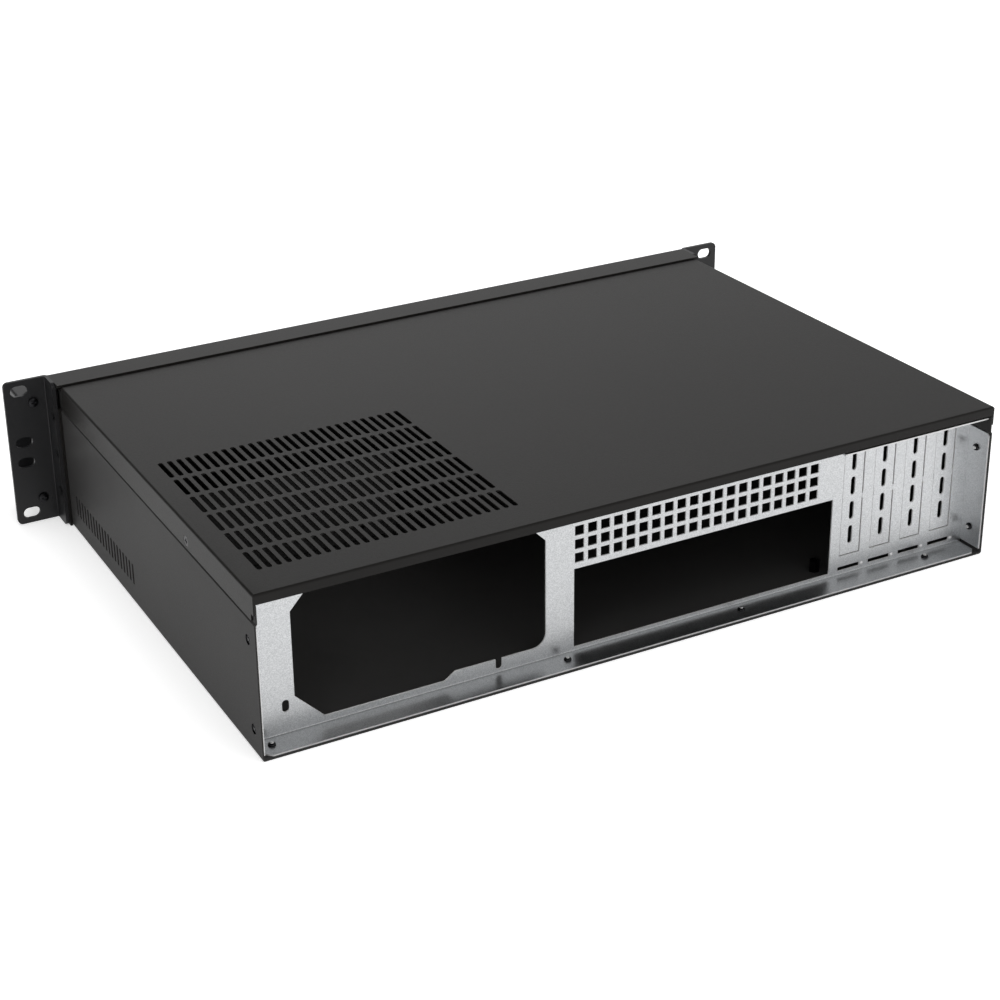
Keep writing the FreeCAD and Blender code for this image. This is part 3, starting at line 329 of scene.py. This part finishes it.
def place_box(left, right, front, back, low, high):
    """Two corners from measures in millimetres, with the sheet metal's shift along Y."""
    first = Vector((left * mm, front * mm + case_shift, low * mm))
    last = Vector((right * mm, back * mm + case_shift, high * mm))
    return first, last


def wall_box(left, right, low, high):
    """Two corners of a box round a part of the rear wall's sheet."""
    return place_box(left, right, 283.5, 284.5, low, high)


def within(place, low, high):
    return all(low[i] <= place[i] <= high[i] for i in range(3))


def straight_edges(form, axis, length, low, high):
    """Corner edges of one length along one axis, with their middle in a box."""
    picked = []
    for edge in form.edges:
        span = edge.verts[0].co - edge.verts[1].co
        along = abs(abs(span[axis]) - length) < same_length and span.length < length + same_length
        if along and within(middle_of(edge), low, high) and len(edge.link_faces) == 2:
            if edge.calc_face_angle() > math.radians(15):
                picked.append(edge)
    return picked


def round_over(form, edges, radius, segments):
    bmesh.ops.bevel(
        form, geom=edges, offset=radius, offset_type="OFFSET", segments=segments, profile=0.5,
        affect="EDGES", clamp_overlap=True, material=-1,
    )


def opened(form, low, high):
    """Cuts an upright box's four sides into the form and takes out the sheet inside it."""
    for axis in (0, 1):
        for corner in (low, high):
            bmesh.ops.bisect_plane(
                form, geom=form.verts[:] + form.edges[:] + form.faces[:], dist=on_cut,
                plane_co=corner, plane_no=across_axis(axis),
            )
    room = Vector((touch, touch, touch))
    inside = []
    for face in form.faces:
        if within(face.calc_center_median(), low - room, high + room):
            inside.append(face)
    bmesh.ops.delete(form, geom=inside, context="FACES")


def split_sheet(form, axis, level, low, high):
    """Cuts the faces inside a box along a plane across one axis."""
    verts = [vert for vert in form.verts if within(vert.co, low, high)]
    edges = [edge for edge in form.edges if all(within(vert.co, low, high) for vert in edge.verts)]
    faces = [face for face in form.faces if all(within(vert.co, low, high) for vert in face.verts)]
    normal = across_axis(axis)
    bmesh.ops.bisect_plane(
        form, geom=verts + edges + faces, dist=on_cut, plane_co=normal * level, plane_no=normal,
    )


def islands(node):
    """The lowest and highest corner of each separate solid of a CAD node."""
    form = joined_copy(node)
    seen, found = set(), []
    for start in form.verts:
        if start in seen:
            continue
        group, queue = [], [start]
        seen.add(start)
        while queue:
            vert = queue.pop()
            group.append(vert.co.copy())
            for edge in vert.link_edges:
                other = edge.other_vert(vert)
                if other not in seen:
                    seen.add(other)
                    queue.append(other)
        low = Vector(min(co[i] for co in group) for i in range(3))
        high = Vector(max(co[i] for co in group) for i in range(3))
        found.append((low, high))
    form.free()
    return found


def side_seats(node, inset=0.0):
    """For each solid on the case's sides: a place under its outer end, and which way is out."""
    seats = []
    for low, high in islands(node):
        middle = (low + high) / 2
        out = 1 if middle.x > 0 else -1
        outer = high.x if middle.x > 0 else low.x
        seats.append((Vector((outer - out * inset, middle.y, middle.z)), out))
    return seats


def lathe(profile, steps):
    """A turned shape about Z; the profile is (radius, height) pairs in millimetres."""
    form = bmesh.new()
    verts = [form.verts.new((radius * mm, 0, height * mm)) for radius, height in profile]
    edges = [form.edges.new(pair) for pair in zip(verts, verts[1:])]
    bmesh.ops.spin(
        form, geom=verts + edges, cent=(0, 0, 0), axis=(0, 0, 1), angle=math.tau, steps=steps,
        use_merge=True,
    )
    bmesh.ops.remove_doubles(form, verts=form.verts, dist=touch)
    bmesh.ops.recalc_face_normals(form, faces=form.faces)
    return form


def cross_head(radius, rise, brim, shank, length, recess):
    """A cross-recess screw along Z with its seat at z = 0; sizes are in millimetres.

    The top of the head is a grid with its cross sunk. Rings run from the grid's rim over the
    head, which is `rise` high in its middle and `brim` high at its rim, and down the shank.
    """
    form = bmesh.new()
    bmesh.ops.create_grid(form, x_segments=5, y_segments=5, size=1.0)
    lines = sorted({round(vert.co.x, 5) for vert in form.verts})
    half, arm, slot = 0.66 * radius, 0.52 * radius, 0.15 * radius
    moved = dict(zip(lines, (-half, -arm, -slot, slot, arm, half)))

    def dome(reach):
        return rise - (rise - brim) * (reach / radius) ** 2

    for vert in form.verts:
        across, up = moved[round(vert.co.x, 5)], moved[round(vert.co.y, 5)]
        vert.co = Vector((across, up, dome(math.hypot(across, up)))) * mm
    cross = []
    for face in form.faces:
        middle = face.calc_center_median() / mm
        in_upright = abs(middle.x) < slot and abs(middle.y) < arm
        in_level = abs(middle.y) < slot and abs(middle.x) < arm
        if in_upright or in_level:
            cross.append(face)
    rim = [edge for edge in form.edges if len(edge.link_faces) == 1]

    # The recess is deepest in its middle and narrows downward.
    draft, end_rise = 0.86, 0.3
    for vert in verts_of(bmesh.ops.extrude_face_region(form, geom=cross)["geom"]):
        away = vert.co.length_squared / (arm * mm) ** 2
        vert.co.z = (rise - recess * (1 - end_rise * away)) * mm
        vert.co.x *= draft
        vert.co.y *= draft
    bmesh.ops.delete(form, geom=cross, context="FACES")

    tip_height, tip_inset = 0.3, 0.25
    rings = (
        (0.86 * radius, dome(0.86 * radius)), (0.97 * radius, brim + 0.08 * rise),
        (radius, brim * 0.7), (radius, 0),
        (shank, 0), (shank, -length + tip_height), (shank - tip_inset, -length),
    )
    corner = math.pi / 4
    for reach, height in rings:
        grown = bmesh.ops.extrude_edge_only(form, edges=rim)["geom"]
        ring = verts_of(grown)
        rim = [edge for edge in edges_of(grown) if all(vert in ring for vert in edge.verts)]
        ring.sort(key=lambda vert: (math.atan2(vert.co.y, vert.co.x) + corner) % math.tau)
        for number, vert in enumerate(ring):
            angle = math.tau * (number + 0.5) / len(ring) - corner
            vert.co = Vector((reach * math.cos(angle), reach * math.sin(angle), height)) * mm
    bmesh.ops.contextual_create(form, geom=rim)
    bmesh.ops.recalc_face_normals(form, faces=form.faces)
    return form


def vent_cell(pitch, slot, thickness):
    """One cell of a vented sheet: a round-ended slot in its middle, its upper face on z = 0."""
    radius = slot[0] / 2
    bend = slot[1] / 2 - radius
    form = bmesh.new()
    ends = []
    for side in (1, -1):
        start = form.verts.new((side * radius, side * bend, 0))
        arc = bmesh.ops.spin(
            form, geom=[start], cent=(0, side * bend, 0), axis=(0, 0, 1), angle=math.pi, steps=8,
        )
        ends.append((start, arc["geom_last"][0]))
    form.edges.new((ends[0][1], ends[1][0]))
    form.edges.new((ends[1][1], ends[0][0]))
    rim = form.edges[:]
    border = bmesh.ops.create_grid(form, x_segments=1, y_segments=1, size=0.5)["verts"]
    bmesh.ops.scale(form, vec=(pitch[0], pitch[1], 1), verts=border)
    bmesh.ops.delete(form, geom=form.faces[:], context="FACES_ONLY")
    bmesh.ops.triangle_fill(form, use_beauty=True, edges=form.edges[:])
    walls = bmesh.ops.extrude_edge_only(form, edges=rim)["geom"]
    upper = [face for face in form.faces if abs(face.normal.z) > 0.5]
    lower = bmesh.ops.duplicate(form, geom=upper)["geom"]
    bmesh.ops.translate(form, vec=(0, 0, -thickness), verts=list(set(verts_of(walls + lower))))
    return form


def vent_field(columns, rows, pitch, slot, thickness):
    """A sheet with rows of equal vents; its first vent is on the origin."""
    places = []
    for row in range(rows):
        for column in range(columns):
            places.append((Vector((column * pitch[0], row * pitch[1], 0)), (0, 0, 1)))
    form = set_down(vent_cell(pitch, slot, thickness), places)
    bmesh.ops.remove_doubles(form, verts=form.verts, dist=weld)
    return form


def vented_cover():
    """The cover with a field of round-ended vents and its side lips a little shorter."""
    form = joined_copy("top_cover")
    top = 87.6 * mm
    columns, rows = 28, 6
    pitch, slot = (4.985 * mm, 22.9 * mm), (2.7 * mm, 19.8 * mm)
    border = 1.4 * mm
    last = Vector((200.3 * mm, 268.4 * mm + case_shift, top))
    first = last - Vector(((columns - 1) * pitch[0], (rows - 1) * pitch[1], 0))
    margin = Vector((pitch[0] / 2 + border, pitch[1] / 2 + border, 0))
    opened(form, first - margin - Vector((0, 0, sheet)), last + margin)
    field = vent_field(columns, rows, pitch, slot, sheet)
    bmesh.ops.translate(field, vec=first, verts=field.verts)
    add_form(form, field)
    for level in (top, top - sheet):
        rims = []
        for edge in form.edges:
            if len(edge.link_faces) == 1 and abs(middle_of(edge).z - level) < same_place:
                rims.append(edge)
        bmesh.ops.triangle_fill(form, use_beauty=True, edges=rims)
    bmesh.ops.recalc_face_normals(form, faces=form.faces)
    hems = [vert for vert in form.verts if vert.co.z < 73.0 * mm]
    bmesh.ops.translate(form, vec=(0, 0, 0.5 * mm), verts=hems)
    dress(form, "top_cover")


def vented_tray():
    """The tray with round-ended side vents."""
    form = solid_copy("base_tray")
    for side in (-1, 1):
        left, right = sorted((side * 210, side * 214))
        low, high = place_box(left, right, 24, 128, 11, 25)
        round_over(form, straight_edges(form, 0, sheet, low, high), 1.15 * mm, 4)
    dress(form, "base_tray")


def widened_cuts(form):
    """Moves the sides of the grid's square holes and of the slits outward."""
    low, high = wall_box(-112, 37, 51, 72)
    hole, hole_pitch, outward = Vector((33.65 * mm, 0, 53.95 * mm)), 7.5 * mm, 0.3 * mm
    for vert in form.verts:
        if within(vert.co, low, high):
            for axis in (0, 2):
                steps = (vert.co[axis] - hole[axis]) / hole_pitch
                vert.co[axis] += math.copysign(outward, steps - round(steps))
    low, high = wall_box(-204, -126, 4, 6)
    slit, outward = 5 * mm, 0.4 * mm
    for vert in form.verts:
        if within(vert.co, low, high):
            vert.co.z += outward if vert.co.z > slit else -outward


def pressed_blanks(form):
    """Presses the slot blanks in by half a sheet; the wall slopes at their tabs and the fold."""
    low, high = wall_box(-240, 240, -1, 90)
    half, slope = 6.3 * mm, 0.5 * mm
    bottom, top = 12.9 * mm, 76.5 * mm
    middles = [-135.0 * mm - slot_pitch * number for number in range(slot_count)]
    for middle in middles:
        for offset in (-half - slope, -half, half, half + slope):
            split_sheet(form, 0, middle + offset, low, high)
    split_sheet(form, 2, top, low, high)
    for middle in middles:
        corner = Vector((middle - half - same_place, low.y, bottom))
        opposite = Vector((middle + half + same_place, high.y, top + same_place))
        blank = [vert for vert in form.verts if within(vert.co, corner, opposite)]
        bmesh.ops.translate(form, vec=(0, -sheet / 2, 0), verts=blank)


def rear_wall():
    """The rear panel with rounded ovals, pressed blanks and a brighter finish on every cut, partly
    bare cut steel and partly a painted highlight.
    """
    form = solid_copy("rear_panel")
    low, high = place_box(-206, -125, 280, 286, 18, 76)
    round_over(form, straight_edges(form, 1, sheet, low, high), 0.82 * mm, 3)
    bmesh.ops.dissolve_degenerate(form, dist=touch, edges=form.edges)
    widened_cuts(form)
    pressed_blanks(form)
    # Cut faces take the second slot: the bright edge finish, partly a painted highlight.
    for face in form.faces:
        across = [edge for edge in face.edges if abs(edge.calc_length() - sheet) < same_length]
        face.material_index = int(len(face.edges) == 4 and len(across) == 2)
    panel = dress(form, "rear_panel")
    panel.data.materials.append(edge_and_highlight_finish)


def slot_pips():
    """Small raised pips beside the slits under the slot blanks, in the bright edge finish, which
    paints a highlight on them.
    """
    profile = [(0, 0), (1.05, 0), (0.95, 0.22), (0.7, 0.42), (0.36, 0.54), (0, 0.58)]
    wall = 284.4 * mm + case_shift
    places = []
    for number in range(slot_count):
        place = Vector((-143.6 * mm - slot_pitch * number, wall, 5.0 * mm))
        places.append((place, (0, 1, 0)))
    # The pips' bright finish is a painted highlight; they are of the same zinc sheet as the wall.
    pips = as_piece(set_down(lathe(profile, steps=16), places), "slot_pips", edge_and_highlight_finish)
    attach(pips, "case")


def rack_ear(node):
    """An ear with round-ended middle slots."""
    form = solid_copy(node)
    side = 1 if node == "ear_right" else -1
    left, right = sorted((side * 226, side * 240))
    low, high = place_box(left, right, -3, 1, 32, 56)
    ear_thickness = 2.0 * mm
    round_over(form, straight_edges(form, 1, ear_thickness, low, high), 1.8 * mm, 4)
    bmesh.ops.dissolve_degenerate(form, dist=touch, edges=form.edges)
    dress(form, node)


def pull_handle(node):
    """A handle with softly rounded rims, apart from those on its seat."""
    form = solid_copy(node)
    low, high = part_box(node)
    rims = []
    for edge in form.edges:
        first, last = edge.verts[0].co, edge.verts[1].co
        same_side = abs(first.x - last.x) < same_place
        on_side = min(abs(first.x - low.x), abs(first.x - high.x)) < same_place
        seated = abs(first.y - high.y) < same_place and abs(last.y - high.y) < same_place
        if same_side and on_side and not seated:
            rims.append(edge)
    round_over(form, rims, 1.4 * mm, 4)
    dress(form, node)


def domed_rivets():
    """Lip and flange rivets, flush outside and domed inside, with pin ends whose bright finish is
    a painted highlight.
    """
    profile = [
        (0, 0.25), (0.9, 0.25), (1.1, 0.6), (2.45, 0.6), (2.6, 0.02), (2.7, 0.02), (2.7, 0.8),
        (1.98, 0.8), (1.98, 1.7), (1.92, 2.15), (1.75, 2.55), (1.4, 2.85), (0.95, 3.0), (0, 3.0),
    ]
    pin_end = [(0, 2.7), (1.0, 2.7), (1.0, 3.1), (0.85, 3.35), (0.5, 3.5), (0, 3.55)]
    standing = []
    for low, high in islands("lip_rivets"):
        middle = (low + high) / 2
        standing.append((Vector((middle.x, middle.y, 0)), (0, 0, 1)))
    lying = [(place, (-out, 0, 0)) for place, out in side_seats("flange_rivets")]
    for node, parts in (("lip_rivets", standing), ("flange_rivets", lying)):
        dress(set_down(lathe(profile, steps=28), parts), node)
    pins = set_down(lathe(pin_end, steps=16), standing + lying)
    # The pin ends' bright finish paints the domes' highlight.
    pins = as_piece(pins, "rivet_pin_ends", pin_highlight_finish)
    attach(pins, "case")


def cross_screws():
    """Ear, handle and cover screws with cross recesses."""
    screw = cross_head(radius=2.85, rise=1.0, brim=0.9, shank=1.5, length=2.6, recess=0.8)
    seats = side_seats("ear_screws", inset=1.0 * mm)
    dress(set_down(screw, [(place, (out, 0, 0)) for place, out in seats]), "ear_screws")

    screw = cross_head(radius=2.9, rise=2.1, brim=1.1, shank=1.6, length=13.6, recess=1.3)
    parts = []
    for low, high in islands("handle_screws"):
        middle = (low + high) / 2
        parts.append((Vector((middle.x, case_shift, middle.z)), (0, 1, 0)))
    dress(set_down(screw, parts), "handle_screws")

    screw = cross_head(radius=2.9, rise=0.75, brim=0.7, shank=1.5, length=4.8, recess=0.6)
    seats = side_seats("cover_screws", inset=0.8 * mm)
    dress(set_down(screw, [(place, (out, 0, 0)) for place, out in seats]), "cover_screws")


def press_button(node, body, cap, collar, stem_end):
    """A turned button: dished cap with a soft rim, collar and stem; sizes are in millimetres."""
    low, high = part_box(node)
    middle = (low + high) / 2
    depth = (high.y - low.y) / mm
    collar_end = stem_end + 1.0
    stem, stem_tip = 1.5, 1.3
    profile = [
        (0, depth - 0.25), (cap * 0.55, depth - 0.16), (cap * 0.82, depth),
        (cap * 0.93, depth - 0.05), (cap, depth - 0.4), (cap, collar_end),
        (collar, collar_end), (collar, stem_end), (stem, stem_end), (stem, 0.2), (stem_tip, 0),
        (0, 0),
    ]
    front = [(Vector((middle.x, high.y, middle.z)), (0, -1, 0))]
    dress(set_down(lathe(profile, steps=48), front), node, body=body)


def grille_shade_pad():
    """A thin dark pad behind the fan grilles, which lets no daylight through to the vents: painted
    shade, a dark sheet where the case's inside is only shaded.
    """
    form = bmesh.new()
    bmesh.ops.create_cube(form, size=1.0)
    low, high = place_box(-196, 36, -0.3, 1.7, 12.3, 76.5)
    bmesh.ops.scale(form, vec=high - low, verts=form.verts)
    bmesh.ops.translate(form, vec=(low + high) / 2, verts=form.verts)
    round_over(form, form.edges[:], 0.6 * mm, 3)
    pad = as_piece(form, "grille_painted_shade_pad", shade_pad_finish)
    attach(pad, "case")


vented_cover()
vented_tray()
rear_wall()
slot_pips()
for side_name in ("left", "right"):
    rack_ear(f"ear_{side_name}")
    pull_handle(f"handle_{side_name}")
domed_rivets()
cross_screws()
grille_shade_pad()
press_button("power_button", "power", cap=6.0, collar=7.3, stem_end=3.3)
press_button("reset_button", "reset", cap=1.8, collar=3.0, stem_end=3.3)


# Floor, light and camera

def maths(tree, operation, first, second):
    """One step of arithmetic on two outputs."""
    node = tree.nodes.new("ShaderNodeMath")
    node.operation = operation
    tree.links.new(first, node.inputs[0])
    tree.links.new(second, node.inputs[1])
    return node.outputs[0]


def area_light(name, place, target, size, power):
    """A rectangular lamp that faces its target; places in metres, power in watts."""
    place, target = Vector(place), Vector(target)
    lamp = bpy.data.lights.new(name, "AREA")
    lamp.shape = "RECTANGLE"
    lamp.size = lamp.size_y = size
    lamp.energy = power
    thing = bpy.data.objects.new(name, lamp)
    bpy.context.scene.collection.objects.link(thing)
    thing.location = place
    thing.rotation_euler = (target - place).to_track_quat("-Z", "Y").to_euler()
    return thing


def studio_floor():
    """A wide pale floor just under the case, which keeps the case's shadow.

    It glows faintly for the camera, so that it meets the white surround without a horizon, and
    a little for the sheet metal that mirrors it.
    """
    form = bmesh.new()
    bmesh.ops.create_grid(form, x_segments=4, y_segments=4, size=12.0)
    mesh = bpy.data.meshes.new("studio_floor")
    form.to_mesh(mesh)
    form.free()
    floor = bpy.data.objects.new("studio_floor", mesh)
    floor.location.z = -0.2 * mm
    bpy.context.scene.collection.objects.link(floor)
    made, tree, shader = material("pale_floor", grey(0.92), roughness=0.9, specular=0.1)
    cloud = noise(tree, object_place(tree), scale=1.5)
    mottle(tree, shader, cloud, grey(0.915), grey(0.925))
    shader.inputs["Emission Color"].default_value = (1, 1, 1, 1)
    path = tree.nodes.new("ShaderNodeLightPath")
    seen = spread(tree, path.outputs["Is Camera Ray"], 0.0, 0.44)
    mirrored = spread(tree, path.outputs["Is Glossy Ray"], 0.0, 0.2)
    glow = maths(tree, "MAXIMUM", seen, mirrored)
    tree.links.new(glow, shader.inputs["Emission Strength"])
    mesh.materials.append(made)


def studio_world():
    """A pale surround: white where it is seen, and graded where sheet metal mirrors it.

    The mirrored surround is bright towards -X and darkens towards +X and overhead.
    """
    world = bpy.data.worlds.new("studio_surround")
    bpy.context.scene.world = world
    world.use_nodes = True
    tree = world.node_tree
    ground = tree.nodes["Background"]
    ground.inputs["Color"].default_value = (1, 1, 1, 1)
    path = tree.nodes.new("ShaderNodeLightPath")
    rays = path.outputs
    seen = maths(tree, "MAXIMUM", rays["Is Camera Ray"], rays["Is Transmission Ray"])
    plain = spread(tree, seen, 0.62, 1.0)

    # Each fall is a list of (direction from -1 to 1, brightness) along one axis.
    direction = tree.nodes.new("ShaderNodeSeparateXYZ")
    tree.links.new(tree.nodes.new("ShaderNodeTexCoord").outputs["Generated"], direction.inputs[0])
    falls = {
        "X": [(-0.65, 0.75), (-0.35, 1.2), (0.3, 0.12)],
        "Z": [(0.45, 1.0), (0.8, 0.12)],
    }
    graded = []
    for output, stops in falls.items():
        unit = tree.nodes.new("ShaderNodeMapRange")
        unit.inputs["From Min"].default_value = -1.0
        tree.links.new(direction.outputs[output], unit.inputs["Value"])
        levels = [((at + 1) / 2, grey(level)) for at, level in stops]
        graded.append(ramp(tree, unit.outputs["Result"], levels))
    mirrored = maths(tree, "MULTIPLY", *graded)
    strength = tree.nodes.new("ShaderNodeMapRange")
    tree.links.new(rays["Is Glossy Ray"], strength.inputs["Value"])
    tree.links.new(plain, strength.inputs["To Min"])
    tree.links.new(mirrored, strength.inputs["To Max"])
    tree.links.new(strength.outputs["Result"], ground.inputs["Strength"])


def photo_camera():
    """The camera stands where the photograph was taken from, aimed near the case's middle."""
    azimuth, elevation, roll = (math.radians(angle) for angle in (25.91, 23.52, -1.74))
    target = Vector((21.3 * mm, 71.4 * mm + case_shift, 44 * mm))
    distance = 1187  # millimetres from the target
    outward = Vector((
        math.sin(azimuth) * math.cos(elevation),
        math.cos(azimuth) * math.cos(elevation),
        math.sin(elevation),
    ))
    right = (-outward).cross(Vector((0, 0, 1))).normalized()
    up = right.cross(-outward).normalized()
    turned_right = math.cos(roll) * right + math.sin(roll) * up
    turned_up = math.cos(roll) * up - math.sin(roll) * right
    lens = bpy.data.cameras.new("photo_camera")
    lens.sensor_width = 36
    lens.lens = 72.79
    lens.shift_x = 0.09
    lens.shift_y = -0.078
    lens.clip_start = 0.01
    lens.clip_end = 50
    camera = bpy.data.objects.new("photo_camera", lens)
    bpy.context.scene.collection.objects.link(camera)
    facing = Matrix((turned_right, turned_up, outward)).transposed().to_4x4()
    camera.matrix_world = Matrix.Translation(target + outward * distance * mm) @ facing
    bpy.context.scene.camera = camera


studio_floor()
studio_world()
photo_camera()
overhead = area_light("overhead_softbox", (-0.3, 0.3, 2.2), (0, 0, 0), size=2.4, power=26)
overhead.visible_glossy = False  # it lights the top without being mirrored there
area_light("rear_softbox", (1.9, 1.9, 1.1), (0.1, 0.1, 0), size=1.2, power=9)
bpy.context.scene.view_settings.view_transform = "Standard"
